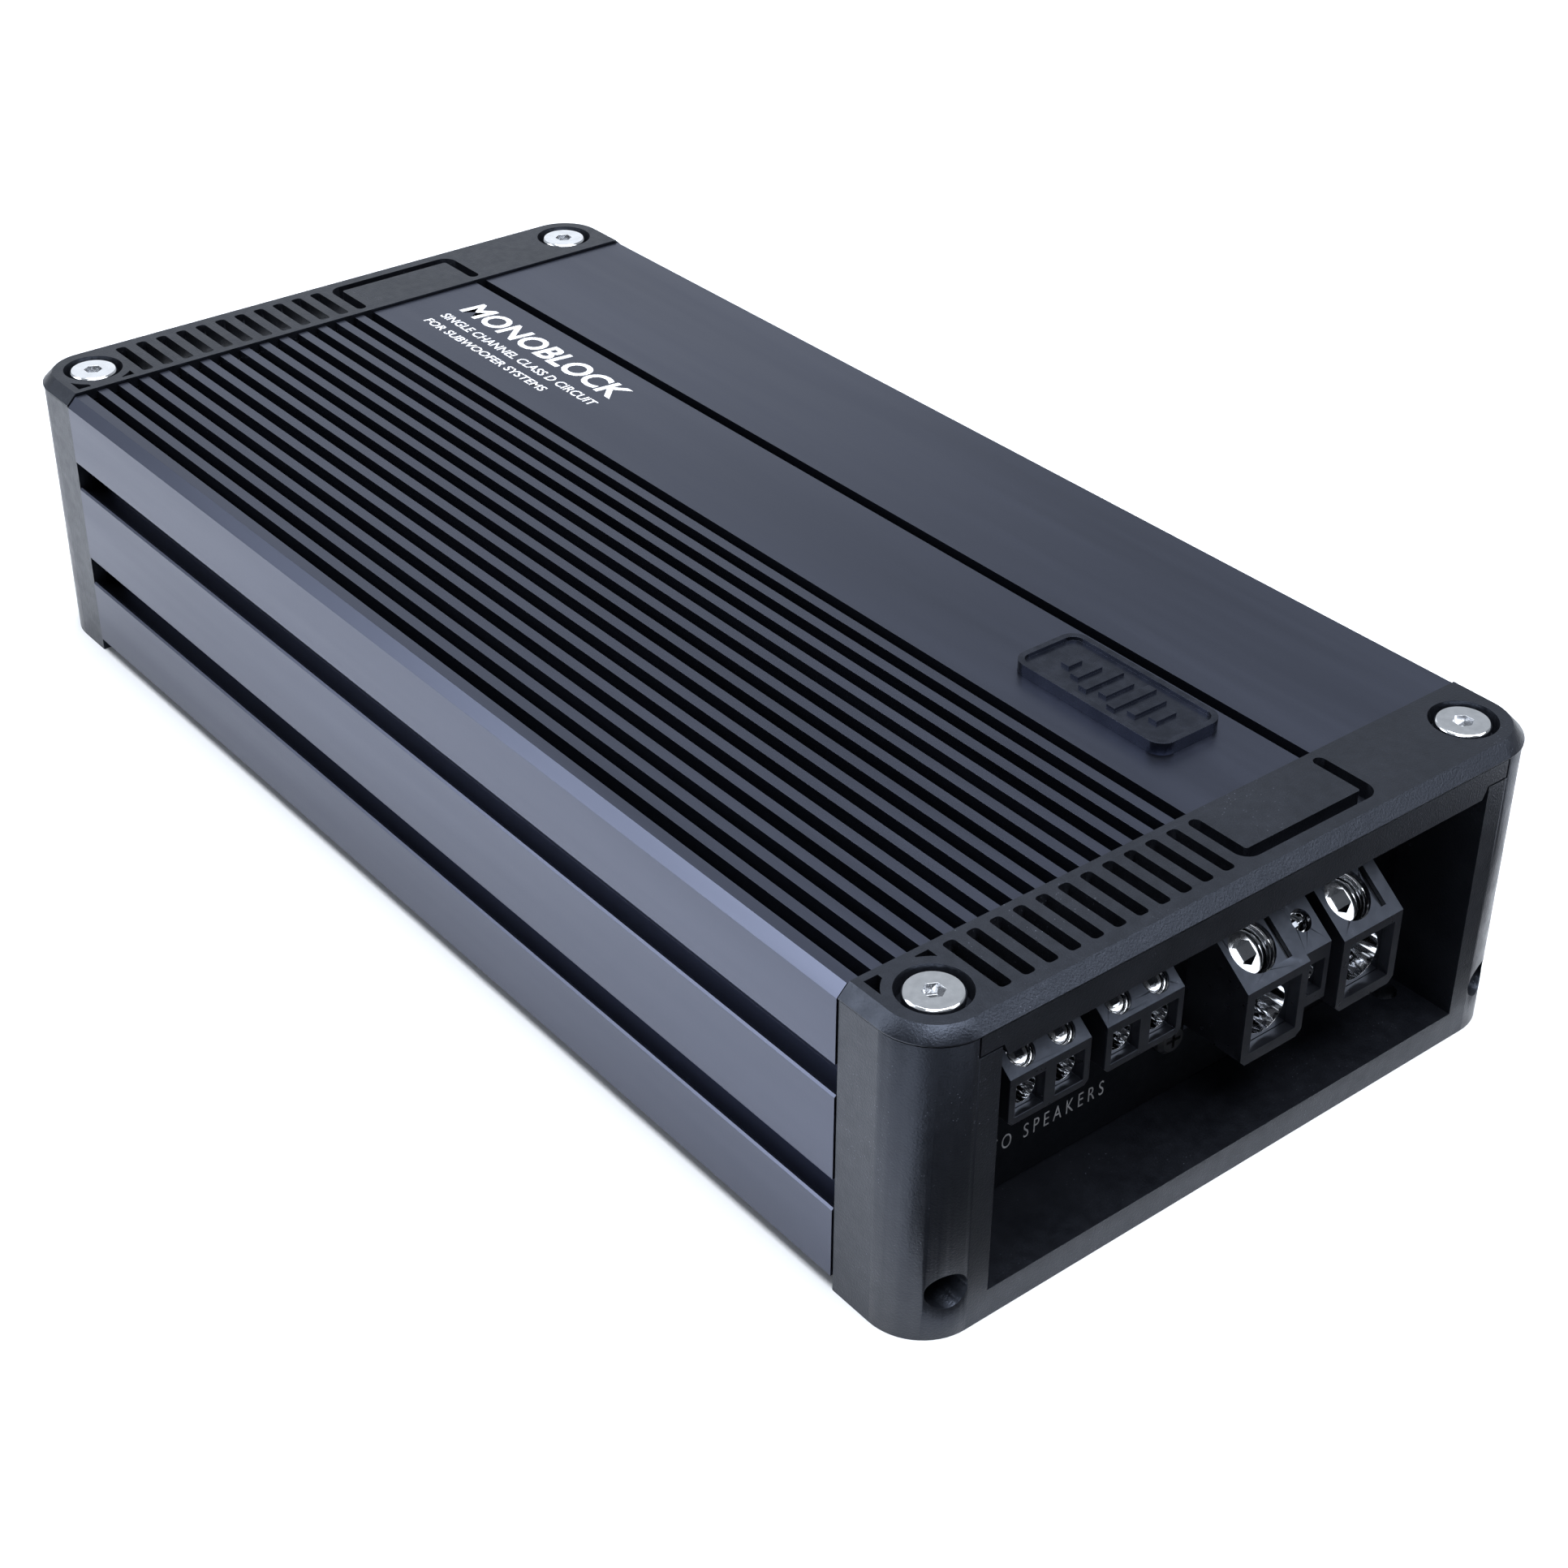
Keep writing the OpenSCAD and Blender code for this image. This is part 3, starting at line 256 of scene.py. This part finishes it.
LOOKS = {
    "black_anodised": black_anodised(),
    "black_textured": black_textured(),
    "panel_black": panel_black(),
    "terminal_plastic": terminal_plastic(),
    "bright_screw": plated("bright_screw", (0.86, 0.87, 0.89), 0.14),
    "nickel": plated("nickel", (0.66, 0.67, 0.69), 0.08),
    "black_screw": plain("black_screw", (0.012, 0.012, 0.013), (0.03, 0.03, 0.032), 0.4, metal=0.6),
    "black_steel": plain("black_steel", (0.012, 0.012, 0.013), (0.017, 0.017, 0.019), 0.5,
                         size=0.02, grain=(0.0004, 0.00002)),
    "badge_metal": plain("badge_metal", (0.040, 0.045, 0.062), (0.055, 0.061, 0.082), 0.26,
                         metal=1.0, grain=(0.0003, 0.000004)),
    "circuit_board": plain("circuit_board", (0.006, 0.045, 0.018), (0.012, 0.075, 0.03), 0.35,
                           size=0.003),
    "brass": plain("brass", (0.45, 0.33, 0.12), (0.6, 0.45, 0.18), 0.3, metal=1.0),
    "ferrite": plain("ferrite", (0.03, 0.032, 0.034), (0.05, 0.052, 0.055), 0.6),
    "coil_core": plain("coil_core", (0.5, 0.38, 0.04), (0.62, 0.48, 0.07), 0.5),
    "copper": plain("copper", (0.5, 0.17, 0.06), (0.65, 0.25, 0.1), 0.3, metal=1.0),
    "capacitor_sleeve": plain("capacitor_sleeve", (0.01, 0.018, 0.05), (0.016, 0.026, 0.07), 0.3),
    "chip_plastic": plain("chip_plastic", (0.009, 0.009, 0.010), (0.014, 0.014, 0.016), 0.48,
                          grain=(0.0003, 0.00002)),
    "insulator": plain("insulator", (0.5, 0.47, 0.38), (0.6, 0.57, 0.48), 0.6),
    "bar_steel": plain("bar_steel", (0.2, 0.2, 0.21), (0.3, 0.3, 0.32), 0.35, metal=1.0),
    "pot_case": plain("pot_case", (0.02, 0.1, 0.32), (0.035, 0.14, 0.4), 0.4),
    "light_pipe": plain("light_pipe", (0.5, 0.7, 0.55), (0.6, 0.8, 0.65), 0.15),
    "white_print": plain("white_print", (0.62, 0.62, 0.64), (0.8, 0.8, 0.82), 0.55,
                         size=0.001, grain=(0.0002, 0.000005)),
    "grey_print": plain("grey_print", (0.2, 0.2, 0.21), (0.3, 0.3, 0.31), 0.6,
                        size=0.001, grain=(0.0002, 0.000005)),
}


def dress(obj, look):
    """Gives obj one material in place of those it has."""
    obj.data.materials.clear()
    obj.data.materials.append(LOOKS[look].material)


for part in frame["record"]["subparts"]:
    dress(nodes[part["node"]], part["material_slot"])


# ------------------------------------------------------------------ softened edges

# Radius in mm of the moulded or machined edges of each CAD node that is seen
EDGES = {
    "heatsink": 0.1,
    "power_end_cover": 0.32,
    "control_end_cover": 0.32,
    "power_end_frame": 0.28,
    "control_end_frame": 0.28,
    "power_cover_screws": 0.12,
    "control_cover_screws": 0.12,
    "badge": 0.16,
    "power_terminal": 0.14,
    "speaker_terminal_a": 0.12,
    "speaker_terminal_b": 0.12,
    "power_clamp_blocks": 0.14,
    "speaker_clamp_blocks": 0.1,
    "gain_knob": 0.12,
    "lowpass_knob": 0.12,
    "subsonic_knob": 0.12,
    "bass_knob": 0.12,
    "rca_sleeves": 0.15,
    "rca_bodies": 0.2,
    "remote_socket": 0.15,
}


# Vertices closer than this, in metres, are one; edges bent by more than this, in degrees, are sharp
WELD = 1e-6
SHARP = 28


def soften(obj, radius):
    """Rounds the sharp edges of a CAD node with modifiers, which leave its mesh as it is."""
    weld = obj.modifiers.new("weld", "WELD")
    weld.merge_threshold = WELD
    bevel = obj.modifiers.new("bevel", "BEVEL")
    bevel.width = radius * MM
    bevel.segments = 2
    bevel.limit_method = "ANGLE"
    bevel.angle_limit = math.radians(SHARP)
    bevel.miter_outer = "MITER_ARC"
    bevel.harden_normals = True
    bevel.use_clamp_overlap = True


for name, radius in EDGES.items():
    soften(nodes[name], radius)


# ------------------------------------------------------------------ new pieces

def add_piece(name, mesh, look, body):
    """Puts a finished mesh into the scene as a piece that rides on a body."""
    obj = bpy.data.objects.new(name, mesh)
    scene.collection.objects.link(obj)
    mesh.materials.append(LOOKS[look].material)
    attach(obj, body)
    return obj


# How far a print stands proud of its face, and how far it reaches into it, in mm
PRINT_RISE = 0.03
PRINT_SINK = 0.02


def mesh_of(bm, name):
    """A mesh holding what bm holds, with its faces turned outwards; bm is freed."""
    bmesh.ops.recalc_face_normals(bm, faces=bm.faces)
    mesh = bpy.data.meshes.new(name)
    bm.to_mesh(mesh)
    bm.free()
    return mesh


def lettering(name, words, corner, right, up, size, look, lean=0.0, weight=0.0):
    """Printed words filling a rectangle of that size in mm, whose lower left corner is corner."""
    curve = bpy.data.curves.new(name, "FONT")
    curve.body = words
    curve.shear = lean
    curve.offset = weight
    curve.extrude = 0.01
    curve.resolution_u = 4
    maker = bpy.data.objects.new(name + "_maker", curve)
    scene.collection.objects.link(maker)
    mesh = bpy.data.meshes.new_from_object(maker)
    bpy.data.objects.remove(maker)
    bpy.data.curves.remove(curve)
    low = [min(v.co[i] for v in mesh.vertices) for i in range(2)]
    high = [max(v.co[i] for v in mesh.vertices) for i in range(2)]
    right, up = Vector(right), Vector(up)
    out = right.cross(up)
    for v in mesh.vertices:
        a = (v.co.x - low[0]) / (high[0] - low[0]) * size[0]
        b = (v.co.y - low[1]) / (high[1] - low[1]) * size[1]
        rise = PRINT_RISE if v.co.z > 0 else -PRINT_SINK
        v.co = (Vector(corner) + a * right + b * up + rise * out) * MM
    return add_piece(name, mesh, look, "case")


def add_dial(name, centre):
    """Printed tick marks on the control panel, fanned round a knob at centre; in mm and degrees."""
    radius, sweep, ticks = 4.0, 280, 11
    half = 0.1
    long_tick, short_tick = 1.1, 0.7
    bm = bmesh.new()
    for k in range(ticks):
        a = math.radians(sweep * (k / (ticks - 1) - 0.5))
        length = long_tick if 2 * k % (ticks - 1) == 0 else short_tick
        radial = Vector((0, -math.sin(a), math.cos(a)))
        across = Vector((0, math.cos(a), math.sin(a)))
        tip = radius + length
        corners = [(-half, radius), (half, radius), (half, tip), (-half, tip)]
        under, over = [[bm.verts.new((centre + u * across + v * radial + Vector((rise, 0, 0))) * MM)
                        for u, v in corners] for rise in (PRINT_SINK, -PRINT_RISE)]
        bm.faces.new(under)
        bm.faces.new(over[::-1])
        for n in range(4):
            m = (n + 1) % 4
            bm.faces.new((under[n], over[n], over[m], under[m]))
    return add_piece(name, mesh_of(bm, name), "grey_print", "case")


def box_of(node):
    """A CAD node's corners at rest, in mm."""
    low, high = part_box(node)
    return [v / MM for v in low], [v / MM for v in high]


sink_low, sink_high = box_of("heatsink")
power_face_x = box_of("power_end_panel")[1][0]
control_face_x = box_of("control_end_panel")[0][0]

# The description on the middle strip, read from the finned side
TOP = sink_high[2]
PRINT_X = sink_low[0] + 9.7
PRINT_LINES = [
    ("MONOBLOCK", 16.6, (52.7, 5.8), 0.1, 0.028),
    ("SINGLE CHANNEL CLASS D CIRCUIT", 12.0, (52.8, 2.2), 0.05, 0.016),
    ("FOR SUBWOOFER SYSTEMS", 8.1, (41.8, 2.0), 0.05, 0.016),
]
for i, (words, y, size, lean, weight) in enumerate(PRINT_LINES):
    lettering("description_line_%d" % (i + 1), words, (PRINT_X, y, TOP), (1, 0, 0), (0, 1, 0),
              size, "white_print", lean, weight)

# The legend under the speaker terminals
lettering("speaker_legend", "T O   S P E A K E R S", (power_face_x, -37.4, 12.5), (0, 1, 0),
          (0, 0, 1), (23.5, 2.7), "grey_print", weight=-0.006)

# The legends of the control end: words, the middle and foot of the line in (y, z), and its width
KNOB_YS = [16, 25.5, 35, 44.5]
KNOB_Z = 33
CONTROL_LEGENDS = [
    ("GAIN", KNOB_YS[0], 40.3, 5.2),
    ("LOW PASS", KNOB_YS[1], 40.3, 8.2),
    ("SUBSONIC", KNOB_YS[2], 40.3, 8.4),
    ("BASS", KNOB_YS[3], 40.3, 5.2),
    ("PHASE", 3, 34.4, 6.4),
    ("REMOTE", -11.5, 36.4, 7.8),
    ("INPUTS", -34, 39.6, 8.4),
]
LEGEND_H = 1.5
for i, (words, y, z, width) in enumerate(CONTROL_LEGENDS):
    lettering("control_legend_%d" % (i + 1), words, (control_face_x, y + width / 2, z), (0, -1, 0),
              (0, 0, 1), (width, LEGEND_H), "grey_print")

for i, y in enumerate(KNOB_YS):
    add_dial("dial_%d" % (i + 1), Vector((control_face_x, y, KNOB_Z)))


def axis_frame(origin, axis):
    """A matrix, in mm, whose Z runs along axis."""
    z = Vector(axis).normalized()
    x = Vector((0, 1, 0))
    return Matrix.Translation(origin) @ Matrix((x, z.cross(x), z)).transposed().to_4x4()


def thread_ridges(name, place, major, minor, depth, pitch):
    """A ring of ridges lining a bore from depth[0] to depth[1] below its mouth, in mm."""
    rings = int((depth[1] - depth[0]) / pitch)
    sides = 64
    crest_round = 0.03
    wall = major + 0.12
    inner = []
    for k in range(rings):
        z = -depth[0] - k * pitch
        inner += [(major, z), (minor + crest_round, z - 0.35 * pitch), (minor, z - 0.5 * pitch),
                  (minor + crest_round, z - 0.65 * pitch)]
    inner.append((major, -depth[0] - rings * pitch))
    outline = inner + [(wall, inner[-1][1]), (wall, inner[0][1])]
    bm = bmesh.new()
    loops = []
    for r, z in outline:
        loops.append([bm.verts.new((r * math.cos(2 * math.pi * i / sides),
                                    r * math.sin(2 * math.pi * i / sides), z))
                      for i in range(sides)])
    for a in range(len(loops)):
        first, second = loops[a], loops[(a + 1) % len(loops)]
        for i in range(sides):
            j = (i + 1) % sides
            bm.faces.new((first[i], first[j], second[j], second[i]))
    bm.transform(Matrix.Scale(MM, 4) @ place)
    mesh = mesh_of(bm, name)
    for face in mesh.polygons:
        face.use_smooth = True
    return add_piece(name, mesh, "nickel", "case")


# The major and minor radius of the threads, the depths they span and their pitch, in mm
SPEAKER_THREAD = (2.2, 1.98, (0.85, 4.2), 0.7)
POWER_THREAD = (4.2, 3.96, (1.05, 4.9), 0.95)

# Every clamp screw's hinge gives the mouth and the axis of its threaded bore
for joint in frame["joints"]:
    joint_name = joint["name"]
    if joint["type"] != "hinge" or "_clamp_" not in joint_name:
        continue
    place = axis_frame(Vector(joint["pos_m"]) / MM, -Vector(joint["axis"]))
    piece = joint_name.replace("_turn", "_threads")
    if joint_name.startswith("speaker"):
        thread_ridges(piece, place, *SPEAKER_THREAD)
    elif not joint_name.startswith("remote"):
        thread_ridges(piece, place, *POWER_THREAD)


# ------------------------------------------------------------------ stage and light

# Corners, in metres, of the floor and of a black card on it in front of the terminal end
FLOOR = [(-4, -4), (4, -4), (4, 4), (-4, 4)]
FLAG = [(0.138, -0.085), (0.36, -0.32), (0.36, 0.13), (0.138, 0.13)]
FLAG_LIFT = 0.0005


def stage_card(name, corners, z, colour, rough):
    """A flat plain card at height z."""
    mesh = bpy.data.meshes.new(name)
    mesh.from_pydata([(x, y, 0) for x, y in corners], [], [range(len(corners))])
    card = bpy.data.objects.new(name, mesh)
    card.location.z = z
    scene.collection.objects.link(card)
    material = bpy.data.materials.new(name)
    material.use_nodes = True
    shader = material.node_tree.nodes["Principled BSDF"]
    shader.inputs["Base Color"].default_value = (*colour, 1)
    shader.inputs["Roughness"].default_value = rough
    mesh.materials.append(material)
    return card


def add_floor():
    floor = stage_card("floor", FLOOR, cad_low[2], (0.97, 0.97, 0.975), 0.9)


def add_flag():
    """A black card, as a studio sets one: it only shows in the sheen of the surfaces."""
    flag = stage_card("flag", FLAG, cad_low[2] + FLAG_LIFT, (0.004, 0.004, 0.005), 0.5)
    flag.visible_camera = False
    flag.visible_diffuse = False
    flag.visible_shadow = False


def add_softbox(name, at, aim, size, power, lights_floor=False):
    """A rectangular light at a place, facing aim; most only show in the sheen of the surfaces."""
    data = bpy.data.lights.new(name, "AREA")
    data.shape = "RECTANGLE"
    data.size, data.size_y = size
    data.energy = power
    data.color = (0.9, 0.94, 1.0)
    light = bpy.data.objects.new(name, data)
    light.location = at
    light.rotation_euler = (Vector(aim) - Vector(at)).to_track_quat("-Z", "Y").to_euler()
    light.visible_diffuse = lights_floor
    scene.collection.objects.link(light)


# Name, place, aim and size in metres, and power in watts
SOFTBOXES = [
    ("overhead", (0.2, 0.0, 1.4), (0, 0, 0), (1.2, 1.6), 46, True),
    ("near_side", (-0.6, -0.85, 0.75), (0.05, -0.06, 0.05), (0.6, 0.5), 6),
    ("far_end", (-1.6, 0.75, 0.75), (-0.1, 0, 0.05), (1.2, 0.6), 1.4),
    ("front_edge", (0.85, 0.75, 0.95), (0.13, 0, 0.05), (0.6, 0.6), 4),
    ("near_corner", (0.6, -0.7, 1.3), (0.13, -0.06, 0.05), (0.5, 0.5), 3),
]

add_floor()
add_flag()
for box_light in SOFTBOXES:
    add_softbox(*box_light)


def add_world(behind, before):
    """A pale surround, of strength behind towards -X and before towards +X."""
    world = bpy.data.worlds.new("studio")
    world.use_nodes = True
    tree = world.node_tree
    background = tree.nodes["Background"]
    background.inputs["Color"].default_value = (0.86, 0.92, 1.0, 1)
    direction = tree.nodes.new("ShaderNodeSeparateXYZ")
    strength = tree.nodes.new("ShaderNodeMapRange")
    for socket, number in (("From Min", -0.3), ("From Max", 0.5),
                           ("To Min", behind), ("To Max", before)):
        strength.inputs[socket].default_value = number
    tree.links.new(tree.nodes.new("ShaderNodeTexCoord").outputs["Generated"], direction.inputs[0])
    tree.links.new(direction.outputs["X"], strength.inputs["Value"])
    tree.links.new(strength.outputs["Result"], background.inputs["Strength"])
    scene.world = world


add_world(behind=0.52, before=0.16)
scene.view_settings.view_transform = "Standard"
